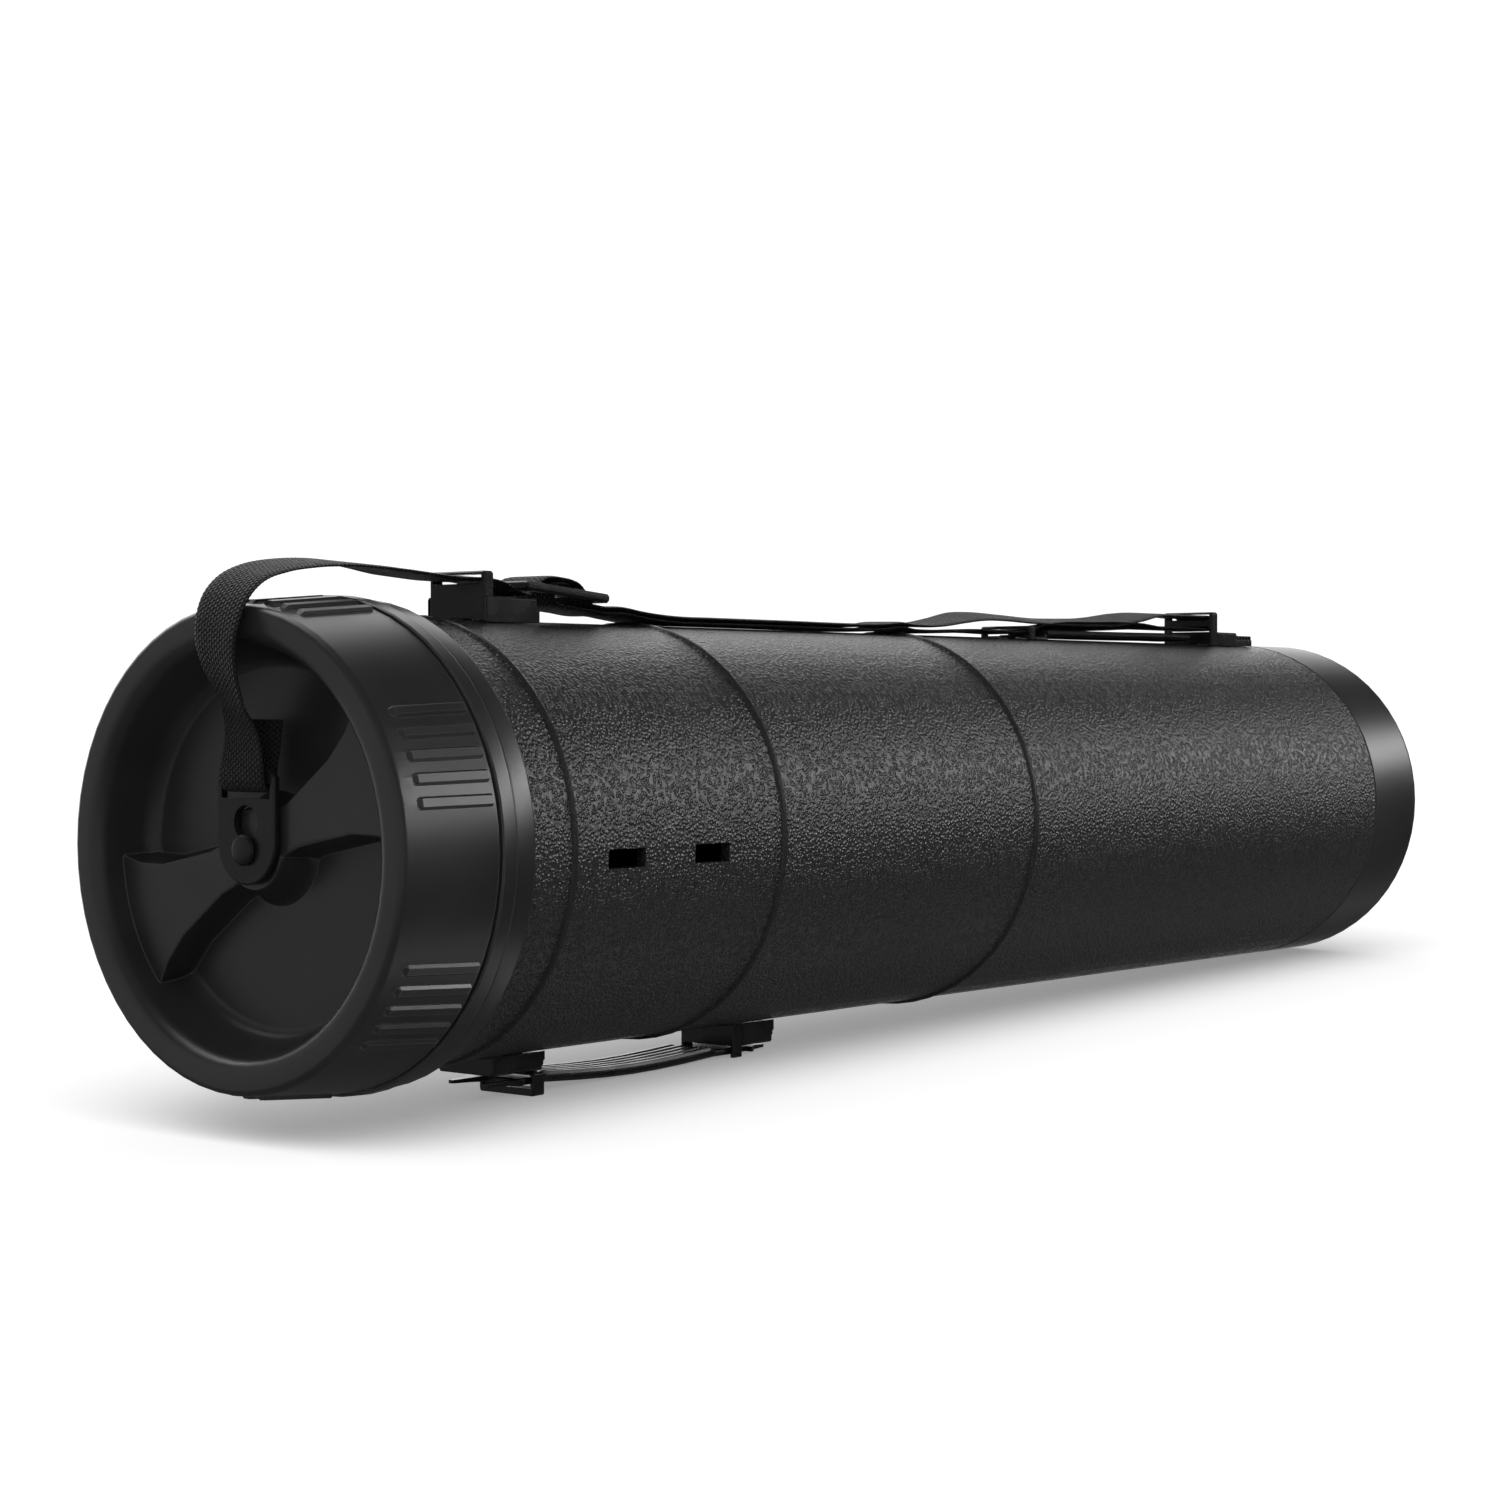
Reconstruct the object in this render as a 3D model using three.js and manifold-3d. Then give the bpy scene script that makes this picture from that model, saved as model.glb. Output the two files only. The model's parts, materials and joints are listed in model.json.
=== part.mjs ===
// Drawing tube: black screw-capped tube with a webbing shoulder strap on top and a band handle below.
// Units are millimetres, +Z is up.  The tube lies along X: the closed far end faces +X with its flat
// outer face at X = 0, and the screw cap is at the -X end.  Most distances along the tube are given as
// stations, measured from the front face of the cap.
import * as THREE from 'three';
import { mergeVertices } from 'three/addons/utils/BufferGeometryUtils.js';
import Module from 'manifold-3d';

const wasm = await Module();
wasm.setup();

// ---------------------------------------------------------------- driving dimensions
const LENGTH = 640;            // overall, cap front to far-end face
const TUBE_R = 70;             // outer radius of the tube wall
const WALL = 3.5;
const GAP = 0.3;               // clearance between pieces that touch
const ROUND = 60;              // facets round the big turned pieces

const TUBE_START = 51.75;      // station of the tube wall's front edge
const TUBE_END = 596.6;        // station of the tube wall's rear edge
const BEADS = [73.3, 174.4, 323.8];
const BEAD_HALF = 1.3;
const BEAD_HIGH = 1.1;

const SPIGOT_R = TUBE_R - WALL - GAP;
const NECK_R = 67.5;           // neck wall under the screw thread
const BORE_R = 63.8;           // clear bore through neck and end cap
const COLLAR_R = 75.2;
const COLLAR_FRONT = 42.75;
const COLLAR_BACK = 51.45;
const NECK_FRONT = 24.8;

const LEAD = 8;                // axial travel of the cap per turn
const THREAD_START = 27;       // station where the neck thread begins
const THREAD_ROOT_HALF = 1.6;
const THREAD_CREST_HALF = 0.8;
const NECK_CREST_R = 69.8;
const CAP_BORE_R = 71.2;
const CAP_CREST_R = 68.7;

const OPENING_R = 61.1;        // radius of the round recess in the lid, at its mouth
const BLADE_FACE = 9.1;        // station of the raised cross-bar and hub
const LOBE_FLOOR = 19.6;       // station of the sunken lobes
const LID_BACK = 22.1;
const LID_STEP = 36.5;         // station where the cap's grip ribs end
const CAP_REAR = 42.35;
const BLADE_TILT = 24;         // degrees the cross-bar is turned up from level
const RIB_GROUPS = 6;
const RIBS_PER_GROUP = 5;
const RIB_PITCH = 5.5;         // degrees
const RIB_FIRST_GROUP = 23;    // degrees, middle of the first group
const RIB_HIGH = 1.2;

const STRAP_W = 20;
const STRAP_T = 1.4;

const SLOT_LONG = 17;          // bracket slots through the tube wall
const SLOT_WIDE = 6;
const SPARE_SLOTS = [97.1, 137.9];
const SPARE_SLOT_ANGLE = -3.2; // degrees above level, on the near side

// ---------------------------------------------------------------- materials
function plastic(colour, roughness) {
  return new THREE.MeshStandardMaterial({ color: colour, roughness, metalness: 0 });
}

const group = new THREE.Group();

function add(name, geometry, colour, roughness) {
  const mesh = new THREE.Mesh(geometry, plastic(colour, roughness));
  mesh.name = name;
  group.add(mesh);
}

// ---------------------------------------------------------------- solid helpers
function at(station) {
  return station - LENGTH;
}

function clean(geometry) {
  const bare = geometry.index ? geometry.toNonIndexed() : geometry.clone();
  bare.deleteAttribute('normal');
  bare.deleteAttribute('uv');
  const merged = mergeVertices(bare, 1e-4);
  const kept = [];
  const index = merged.index.array;
  for (let i = 0; i < index.length; i += 3) {
    const [a, b, c] = [index[i], index[i + 1], index[i + 2]];
    if (a !== b && b !== c && a !== c) {
      kept.push(a, b, c);
    }
  }
  merged.setIndex(kept);
  return merged;
}

function solid(geometry) {
  const merged = clean(geometry);
  const vertProperties = new Float32Array(merged.attributes.position.array);
  const build = (triVerts) => new wasm.Manifold(new wasm.Mesh({ numProp: 3, vertProperties, triVerts }));
  const first = build(new Uint32Array(merged.index.array));
  if (first.volume() > 0) {
    return first;
  }
  const flipped = [];
  const index = merged.index.array;
  for (let i = 0; i < index.length; i += 3) {
    flipped.push(index[i], index[i + 2], index[i + 1]);
  }
  return build(new Uint32Array(flipped));
}

function geometryOf(manifold) {
  const mesh = manifold.getMesh();
  const geometry = new THREE.BufferGeometry();
  const corners = [];
  for (let i = 0; i < mesh.vertProperties.length; i += mesh.numProp) {
    corners.push(mesh.vertProperties[i], mesh.vertProperties[i + 1], mesh.vertProperties[i + 2]);
  }
  geometry.setAttribute('position', new THREE.Float32BufferAttribute(corners, 3));
  geometry.setIndex(Array.from(mesh.triVerts));
  return geometry;
}

function joined(list) {
  return list.reduce((whole, piece) => whole.add(piece));
}

// Turned piece about the tube's axis; profile is a list of [station, radius].
function turned(profile, facets = ROUND) {
  const points = profile.map(([station, radius]) => new THREE.Vector2(radius, at(station)));
  const onAxis = profile[0][1] === 0 && profile[profile.length - 1][1] === 0;
  if (!onAxis) {
    points.push(points[0].clone());
  }
  const geometry = new THREE.LatheGeometry(points, facets);
  geometry.rotateZ(-Math.PI / 2);
  return solid(geometry);
}

// Solid skinned over matching closed outlines; each outline is a list of [x, y, z].
function skinned(outlines) {
  const count = outlines[0].length;
  const corners = outlines.flat(2);
  const index = [];
  for (let ring = 0; ring < outlines.length - 1; ring += 1) {
    for (let i = 0; i < count; i += 1) {
      const j = (i + 1) % count;
      const [a, b] = [ring * count + i, ring * count + j];
      index.push(a, b, b + count, a, b + count, a + count);
    }
  }
  const last = (outlines.length - 1) * count;
  for (const [a, b, c] of capFaces(outlines[0])) {
    index.push(c, b, a);
  }
  for (const [a, b, c] of capFaces(outlines[outlines.length - 1])) {
    index.push(last + a, last + b, last + c);
  }
  const geometry = new THREE.BufferGeometry();
  geometry.setAttribute('position', new THREE.Float32BufferAttribute(corners, 3));
  geometry.setIndex(index);
  return solid(geometry);
}

// Triangles of a flat outline, wound the same way round as the outline itself.
function capFaces(outline) {
  const flat = flattened(outline);
  const faces = THREE.ShapeUtils.triangulateShape(flat, []);
  return faces.map(([a, b, c]) => {
    const facing = THREE.ShapeUtils.area([flat[a], flat[b], flat[c]]) * THREE.ShapeUtils.area(flat);
    return facing > 0 ? [a, b, c] : [c, b, a];
  });
}

// Drops the axis along which an outline is thinnest, so its face can be triangulated.
function flattened(outline) {
  const spans = [0, 1, 2].map((axis) => {
    const values = outline.map((point) => point[axis]);
    return Math.max(...values) - Math.min(...values);
  });
  const thin = spans.indexOf(Math.min(...spans));
  const [u, v] = [(thin + 1) % 3, (thin + 2) % 3];
  return outline.map((point) => new THREE.Vector2(point[u], point[v]));
}

// Box with all four long edges (along the chosen axis) and both ends slightly rounded off.
function block(from, to, bevel = 0.6) {
  const [x0, y0, z0] = from;
  const [x1, y1, z1] = to;
  const ring = (x, inset) => [
    [x, y0 + inset + bevel, z0 + inset],
    [x, y1 - inset - bevel, z0 + inset],
    [x, y1 - inset, z0 + inset + bevel],
    [x, y1 - inset, z1 - inset - bevel],
    [x, y1 - inset - bevel, z1 - inset],
    [x, y0 + inset + bevel, z1 - inset],
    [x, y0 + inset, z1 - inset - bevel],
    [x, y0 + inset, z0 + inset + bevel],
  ];
  const soft = bevel * 0.6;
  return skinned([ring(x0, soft), ring(x0 + soft, 0), ring(x1 - soft, 0), ring(x1, soft)]);
}

function box(from, to) {
  const size = [0, 1, 2].map((axis) => to[axis] - from[axis]);
  const geometry = new THREE.BoxGeometry(...size);
  geometry.translate(...[0, 1, 2].map((axis) => (from[axis] + to[axis]) / 2));
  return solid(geometry);
}

// Round bar between two points along one axis ('x', 'y' or 'z').
function bar(axis, centre, radius, length, facets = 20) {
  const geometry = new THREE.CylinderGeometry(radius, radius, length, facets);
  if (axis === 'x') {
    geometry.rotateZ(Math.PI / 2);
  } else if (axis === 'z') {
    geometry.rotateX(Math.PI / 2);
  }
  geometry.translate(...centre);
  return solid(geometry);
}

// Helical ridge of trapezoid section, right-handed about +X.
function helixRidge(rootR, crestR, start, turns, phase) {
  const perTurn = 30;
  const fade = 4;
  const steps = Math.round(turns * perTurn);
  const outlines = [];
  for (let i = 0; i <= steps; i += 1) {
    const angle = phase + (2 * Math.PI * i) / perTurn;
    const x = at(start + (LEAD * i) / perTurn);
    const strength = Math.min(1, (i + 1) / fade, (steps - i + 1) / fade);
    const crest = rootR + (crestR - rootR) * strength;
    const corner = (dx, r) => [x + dx, r * Math.cos(angle), r * Math.sin(angle)];
    outlines.push([
      corner(-THREAD_ROOT_HALF, rootR),
      corner(-THREAD_CREST_HALF, crest),
      corner(THREAD_CREST_HALF, crest),
      corner(THREAD_ROOT_HALF, rootR),
    ]);
  }
  const corners = outlines.flat(2);
  const index = [];
  for (let ring = 0; ring < steps; ring += 1) {
    for (let i = 0; i < 4; i += 1) {
      const [a, b] = [ring * 4 + i, ring * 4 + ((i + 1) % 4)];
      index.push(a, b, b + 4, a, b + 4, a + 4);
    }
  }
  const end = steps * 4;
  index.push(2, 1, 0, 3, 2, 0, end, end + 1, end + 2, end, end + 2, end + 3);
  const geometry = new THREE.BufferGeometry();
  geometry.setAttribute('position', new THREE.Float32BufferAttribute(corners, 3));
  geometry.setIndex(index);
  return solid(geometry);
}

// ---------------------------------------------------------------- tube wall
function slotCutter(station, angle, long = SLOT_LONG, wide = SLOT_WIDE) {
  const geometry = new THREE.BoxGeometry(long, wide, 4 * WALL);
  geometry.translate(at(station), 0, TUBE_R - WALL / 2);
  geometry.rotateX(THREE.MathUtils.degToRad(90 - angle));
  return solid(geometry);
}

function tubeBody(bracketSlots) {
  const profile = [[TUBE_START, TUBE_R - WALL], [TUBE_START, TUBE_R - 0.4], [TUBE_START + 0.4, TUBE_R]];
  for (const bead of BEADS) {
    profile.push([bead - BEAD_HALF, TUBE_R]);
    profile.push([bead - BEAD_HALF * 0.55, TUBE_R + BEAD_HIGH * 0.78]);
    profile.push([bead, TUBE_R + BEAD_HIGH]);
    profile.push([bead + BEAD_HALF * 0.55, TUBE_R + BEAD_HIGH * 0.78]);
    profile.push([bead + BEAD_HALF, TUBE_R]);
  }
  profile.push([TUBE_END - 0.4, TUBE_R], [TUBE_END, TUBE_R - 0.4], [TUBE_END, TUBE_R - WALL]);
  let body = turned(profile);
  for (const [station, angle] of bracketSlots) {
    body = body.subtract(slotCutter(station, angle));
  }
  return body;
}

// ---------------------------------------------------------------- neck, end cap, gasket
function neckCollar() {
  const body = turned([
    [NECK_FRONT, BORE_R],
    [NECK_FRONT, NECK_R - 0.5],
    [NECK_FRONT + 0.5, NECK_R],
    [COLLAR_FRONT, NECK_R],
    [COLLAR_FRONT, COLLAR_R - 1.2],
    [COLLAR_FRONT + 0.5, COLLAR_R - 0.2],
    [COLLAR_FRONT + 1.3, COLLAR_R],
    [COLLAR_BACK - 1.3, COLLAR_R],
    [COLLAR_BACK - 0.4, COLLAR_R - 0.4],
    [COLLAR_BACK, COLLAR_R - 1.4],
    [COLLAR_BACK, SPIGOT_R],
    [COLLAR_BACK + 22, SPIGOT_R],
    [COLLAR_BACK + 23, SPIGOT_R - 0.8],
    [COLLAR_BACK + 23, BORE_R],
  ]);
  return body.add(helixRidge(NECK_R - 0.5, NECK_CREST_R, THREAD_START, 1.5, 0));
}

function endCap() {
  const face = LENGTH;
  const front = TUBE_END + GAP;
  const round = 6;
  const profile = [[face - 3, 0], [face - 3, BORE_R - 5], [face - 8, BORE_R - 0.6], [face - 12, BORE_R]];
  profile.push([TUBE_END - 24, BORE_R], [TUBE_END - 24, SPIGOT_R - 0.8], [TUBE_END - 23, SPIGOT_R]);
  profile.push([front, SPIGOT_R], [front, TUBE_R - 0.3], [front + 0.5, TUBE_R + 0.1]);
  for (let i = 0; i <= 4; i += 1) {
    const angle = (i / 4) * (Math.PI / 2);
    profile.push([face - round + round * Math.sin(angle), TUBE_R + 0.1 - round + round * Math.cos(angle)]);
  }
  profile.push([face, 0]);
  return turned(profile);
}

function capGasket() {
  return turned([[LID_BACK + GAP, 63.2], [LID_BACK + GAP, 70.4], [NECK_FRONT - GAP, 70.4], [NECK_FRONT - GAP, 63.2]]);
}

// ---------------------------------------------------------------- screw cap
// Half-width of the lid's cross-bar at distance r from the axis, both as fractions of the tube radius.
const BAR_EDGE = [[0.16, 0.097], [0.28, 0.1], [0.4, 0.126], [0.6, 0.171], [0.75, 0.235], [0.86, 0.307], [0.9, 0.335]];

function barOutline(station, grow, reach) {
  const side = [];
  for (const [r, half] of BAR_EDGE) {
    const along = Math.sqrt(r * r - half * half) * TUBE_R;
    if (along < reach) {
      side.push([along, half * TUBE_R + grow]);
    }
  }
  const right = [...side, [reach, side[side.length - 1][1] + 0.4]];
  const loop = [];
  right.forEach(([u, v]) => loop.push([u, -v]));
  [...right].reverse().forEach(([u, v]) => loop.push([u, v]));
  right.forEach(([u, v]) => loop.push([-u, v]));
  [...right].reverse().forEach(([u, v]) => loop.push([-u, -v]));
  const tilt = THREE.MathUtils.degToRad(180 - BLADE_TILT);
  return loop.map(([u, v]) => [
    at(station),
    u * Math.cos(tilt) - v * Math.sin(tilt),
    u * Math.sin(tilt) + v * Math.cos(tilt),
  ]);
}

function crossBar() {
  const reach = OPENING_R;
  const levels = [[BLADE_FACE, -0.9], [BLADE_FACE + 0.25, -0.35], [BLADE_FACE + 0.9, 0], [LOBE_FLOOR - 2, 1.3]];
  levels.push([LOBE_FLOOR + 1, 3.2]);
  const hub = turned([
    [BLADE_FACE, 0],
    [BLADE_FACE, 11.8],
    [BLADE_FACE + 0.8, 12.7],
    [LOBE_FLOOR - 2, 15.2],
    [LOBE_FLOOR, 17.4],
    [LOBE_FLOOR + 1, 17.4],
    [LOBE_FLOOR + 1, 0],
  ], 48);
  return skinned(levels.map(([station, grow]) => barOutline(station, grow, reach))).add(hub);
}

function crossBarHollow() {
  const bottom = LID_BACK + 1;
  return skinned([barOutline(BLADE_FACE + 2.6, -2.7, 54), barOutline(bottom, -2.2, 54)]);
}

function gripRib(angle) {
  const half = 1.9;
  const [front, back] = [6.5, LID_STEP - 2.5];
  const skirt = (station) => 72.3 + (75 - 72.3) * ((station - 3) / (LID_STEP - 3));
  const section = (station, wide, high) => [
    [at(station), -wide, skirt(station) - 1],
    [at(station), wide, skirt(station) - 1],
    [at(station), wide, skirt(station) + high * 0.35],
    [at(station), wide * 0.62, skirt(station) + high],
    [at(station), -wide * 0.62, skirt(station) + high],
    [at(station), -wide, skirt(station) + high * 0.35],
  ];
  const geometry = geometryOf(skinned([
    section(front, half * 0.6, -0.1),
    section(front + 1.4, half, RIB_HIGH),
    section(back, half, RIB_HIGH),
  ]));
  geometry.rotateX(THREE.MathUtils.degToRad(90 - angle));
  return solid(geometry);
}

function capShell() {
  let body = turned([
    [LOBE_FLOOR, 0],
    [LOBE_FLOOR, 53.5],
    [LOBE_FLOOR - 0.7, 55.6],
    [LOBE_FLOOR - 2.4, 57.2],
    [LOBE_FLOOR - 5, 58.4],
    [BLADE_FACE, 60.0],
    [4.2, OPENING_R - 0.2],
    [2.4, OPENING_R + 0.5],
    [1.0, OPENING_R + 1.6],
    [0.25, OPENING_R + 3.0],
    [0, OPENING_R + 4.8],
    [0, 70.2],
    [0.3, 71.1],
    [1.0, 71.9],
    [2.2, 72.3],
    [LID_STEP - 0.8, 75.0],
    [LID_STEP - 0.7, 74.2],
    [LID_STEP, 74.2],
    [LID_STEP + 0.1, 75.6],
    [LID_STEP + 0.6, 76.0],
    [CAP_REAR - 0.9, 76.2],
    [CAP_REAR - 0.2, 76.0],
    [CAP_REAR, 75.4],
    [CAP_REAR, CAP_BORE_R + 0.6],
    [CAP_REAR - 0.6, CAP_BORE_R],
    [NECK_FRONT - 0.6, CAP_BORE_R],
    [LID_BACK, CAP_BORE_R - 0.3],
    [LID_BACK, 0],
  ]);
  body = body.add(crossBar()).subtract(crossBarHollow());
  for (let cluster = 0; cluster < RIB_GROUPS; cluster += 1) {
    for (let i = 0; i < RIBS_PER_GROUP; i += 1) {
      const offset = (i - (RIBS_PER_GROUP - 1) / 2) * RIB_PITCH;
      body = body.add(gripRib(RIB_FIRST_GROUP + (360 / RIB_GROUPS) * cluster + offset));
    }
  }
  return body.add(helixRidge(CAP_BORE_R + 0.5, CAP_CREST_R, THREAD_START + LEAD / 2, 1.1, 0));
}

// ---------------------------------------------------------------- stud and keyhole tab
const STUD_POST_R = 2.6;
const TAB_FRONT = 6.1;
const TAB_BACK = 8.5;

function lidStud() {
  return turned([
    [BLADE_FACE - GAP, 0],
    [BLADE_FACE - GAP, STUD_POST_R],
    [TAB_FRONT - GAP, STUD_POST_R],
    [TAB_FRONT - GAP, 4.5],
    [TAB_FRONT - 1.0, 4.7],
    [TAB_FRONT - 1.8, 4.2],
    [TAB_FRONT - 2.3, 3.0],
    [TAB_FRONT - 2.5, 0],
  ], 28);
}

const TAB_HALF = 12.6;
const TAB_ROUND_Z = 2.2;       // height of the centre of the tab's rounded lower end
const TAB_TOP = 24;
const TAB_SLOT = [15.2, 19.6]; // webbing slot, lower and upper edge

function tabOutline(station, inset) {
  const loop = [];
  const arc = 18;
  for (let i = 0; i <= arc; i += 1) {
    const angle = Math.PI + (Math.PI * i) / arc;
    const r = TAB_HALF - inset;
    loop.push([at(station), r * Math.cos(angle), TAB_ROUND_Z + r * Math.sin(angle)]);
  }
  const half = TAB_HALF - inset;
  loop.push([at(station), half, TAB_TOP - 2.4]);
  loop.push([at(station), half - 2.4, TAB_TOP - inset]);
  loop.push([at(station), -half + 2.4, TAB_TOP - inset]);
  loop.push([at(station), -half, TAB_TOP - 2.4]);
  return loop;
}

function keyholeTab() {
  const edge = 0.45;
  let body = skinned([
    tabOutline(TAB_FRONT, edge),
    tabOutline(TAB_FRONT + edge, 0),
    tabOutline(TAB_BACK - edge, 0),
    tabOutline(TAB_BACK, edge),
  ]);
  const through = 10;
  const middle = at((TAB_FRONT + TAB_BACK) / 2);
  body = body.subtract(bar('x', [middle, 0, 0], STUD_POST_R + GAP, through, 28));
  body = body.subtract(box([middle - through / 2, -2.3, 0], [middle + through / 2, 2.3, 7]));
  body = body.subtract(bar('x', [middle, 0, 8.1], 5.1, through, 28));
  return body.subtract(box([middle - through / 2, -10.6, TAB_SLOT[0]], [middle + through / 2, 10.6, TAB_SLOT[1]]));
}

// ---------------------------------------------------------------- brackets
// Each bracket is an upright plate with slots for the webbing or the handle, snapped into a slot in the
// wall, and a ribbed lock block that slides in beside it.  They are drawn on top of the tube and turned
// over for the handle side.  Heights are above the tube wall.
const PLATE_HALF = 12.2;
const FOOT_HALF = 9;
const PASSAGE = 10.8;          // half-width of the slots the webbing and handle run through
const TOOTH_PITCH = 2.6;
const TOOTH_LONG = 1.5;
const TOOTH_HIGH = 1.4;

function tubeCutter(radius = TUBE_R + GAP) {
  return turned([[1, 0], [1, radius], [LENGTH - 1, radius], [LENGTH - 1, 0]], 144);
}

// Snap peg with barbs, reaching through the tube wall slot centred on the station.
function snapPeg(station, footFrom, footTo) {
  const x = at(station);
  const [long, wide] = [SLOT_LONG / 2 - GAP, SLOT_WIDE / 2 - GAP];
  const inside = TUBE_R - WALL;
  const stem = box([x - long, -wide, inside - 4], [x + long, wide, TUBE_R - 0.1]);
  const neck = box([at(footFrom) + 0.4, -wide, inside], [at(footTo) - 0.4, wide, TUBE_R + 2]);
  const barb = (side) => skinned([
    [[x - 5, side * (wide - 0.5), inside - GAP], [x - 5, side * (wide + 1.1), inside - GAP],
      [x - 5, side * (wide - 0.5), inside - 3.6]],
    [[x + 5, side * (wide - 0.5), inside - GAP], [x + 5, side * (wide + 1.1), inside - GAP],
      [x + 5, side * (wide - 0.5), inside - 3.6]],
  ]);
  return joined([stem, neck, barb(1), barb(-1)]);
}

function bracketPlate(spec) {
  const { plate, thick, low, high, slot } = spec;
  const [front, back] = [at(plate), at(plate + thick)];
  let body = block([front, -PLATE_HALF, TUBE_R + low], [back, PLATE_HALF, TUBE_R + high], 0.8);
  body = body.add(block([front, -FOOT_HALF, TUBE_R - 1], [back, FOOT_HALF, TUBE_R + low + 1]));
  body = body.subtract(tubeCutter()).add(snapPeg(slot, plate, plate + thick));
  for (const [bottom, top] of spec.passages) {
    const [from, to] = [[front - 1, -PASSAGE, TUBE_R + bottom], [back + 1, PASSAGE, TUBE_R + top]];
    body = body.subtract(box(from, to));
  }
  return body;
}

function lockBlock(spec) {
  const { lockFrom, lockTo, lockHigh, lockHalf, teeth } = spec;
  const half = lockHalf - 1;
  const [floor, shelf] = [TUBE_R - 2, TUBE_R + lockHigh * 0.5];
  const tail = at(lockTo) - 1;
  let body = block([at(lockFrom), -lockHalf, floor], [at(lockTo), lockHalf, TUBE_R + lockHigh]);
  body = body.add(block([tail, -half, floor], [tail + teeth * TOOTH_PITCH + 0.9, half, shelf]));
  for (let i = 0; i < teeth; i += 1) {
    const x = tail + 1.2 + i * TOOTH_PITCH;
    body = body.add(block([x, -half, floor], [x + TOOTH_LONG, half, shelf + TOOTH_HIGH], 0.4));
  }
  if (spec.notch) {
    const [from, to, notchHalf] = spec.notch;
    body = body.subtract(box([at(from), -notchHalf, floor - 1], [at(to), notchHalf, TUBE_R + 9]));
  }
  return body.subtract(tubeCutter());
}

function turnedOver(manifold) {
  const geometry = geometryOf(manifold);
  geometry.rotateX(Math.PI);
  return solid(geometry);
}

const BRACKETS = [
  {
    name: 'strap_bracket_front', over: false, plate: 94.4, thick: 4.5, low: -1.5, high: 15.3, slot: 102.8,
    passages: [[11.3, 14.2]],
    lockFrom: 94.4, lockTo: 117.7, lockHigh: 7.2, lockHalf: 13.3, teeth: 1, notch: [93, 99.2, PLATE_HALF + GAP],
  },
  {
    name: 'strap_bracket_middle', over: false, plate: 408.3, thick: 3.7, low: -1.5, high: 4.8, slot: 416.7,
    passages: [[0.9, 3.6]],
    lockFrom: 412.3, lockTo: 420.3, lockHigh: 0.5, lockHalf: 12.2, teeth: 1,
  },
  {
    name: 'strap_bracket_rear', over: false, plate: 553.6, thick: 5.3, low: -1.5, high: 14, slot: 562,
    passages: [[5.3, 7.6], [10.6, 13]],
    lockFrom: 559.2, lockTo: 576, lockHigh: 5.2, lockHalf: 12.2, teeth: 6,
  },
  {
    name: 'handle_bracket_front', over: true, plate: 116.7, thick: 5.6, low: 5.8, high: 13.9, slot: 113.8,
    passages: [[6.9, 11.3]],
    lockFrom: 98.1, lockTo: 121.1, lockHigh: 5.4, lockHalf: 12.2, teeth: 1, notch: [116.4, 130, FOOT_HALF + GAP],
  },
  {
    name: 'handle_bracket_rear', over: true, plate: 219.1, thick: 5.1, low: -1.5, high: 13.8, slot: 227.5,
    passages: [[6.9, 11.3]],
    lockFrom: 224.5, lockTo: 241, lockHigh: 7.1, lockHalf: 12.2, teeth: 1,
  },
];

// ---------------------------------------------------------------- webbing
// Flat ribbon along a smooth line.  Each stop is [station, z, roll]; a positive roll lifts the far
// edge away from the surface the ribbon is wrapped round.
function ribbon(stops, perStop = 3) {
  const line = new THREE.CatmullRomCurve3(stops.map(([station, z]) => new THREE.Vector3(at(station), 0, z)));
  line.curveType = 'centripetal';
  const steps = (stops.length - 1) * perStop;
  const outlines = [];
  for (let i = 0; i <= steps; i += 1) {
    const along = i / steps;
    const middle = line.getPoint(along);
    const ahead = line.getTangent(along);
    const spot = along * (stops.length - 1);
    const [before, after] = [Math.floor(spot), Math.min(Math.ceil(spot), stops.length - 1)];
    const mixed = THREE.MathUtils.lerp(stops[before][2] ?? 0, stops[after][2] ?? 0, spot - before);
    const roll = THREE.MathUtils.degToRad(mixed);
    const out = new THREE.Vector3(-ahead.z, 0, ahead.x);
    const across = new THREE.Vector3(0, Math.cos(roll), 0).addScaledVector(out, Math.sin(roll));
    const normal = new THREE.Vector3(0, -Math.sin(roll), 0).addScaledVector(out, Math.cos(roll));
    const corner = (side, face) => middle.clone()
      .addScaledVector(across, (side * STRAP_W) / 2)
      .addScaledVector(normal, (face * STRAP_T) / 2)
      .toArray();
    outlines.push([corner(-1, -1), corner(1, -1), corner(1, 1), corner(-1, 1)]);
  }
  return skinned(outlines);
}

const SLIDER_MIDDLE = [133.5, 79.65]; // station and z
const SLIDER_SLOPE = -4.7;            // degrees

// Stop given in the slider's own frame, u along the slider and v out of it.
function onSlider(u, v) {
  const slope = THREE.MathUtils.degToRad(SLIDER_SLOPE);
  const [station, z] = SLIDER_MIDDLE;
  return [
    station + u * Math.cos(slope) - v * Math.sin(slope),
    z + u * Math.sin(slope) + v * Math.cos(slope),
    0,
  ];
}

const STRAP_ON_TUBE = TUBE_R + GAP + STRAP_T / 2;
const LAYER = STRAP_T + GAP;
const OVER_BEAD = BEAD_HIGH + 0.2;

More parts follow.
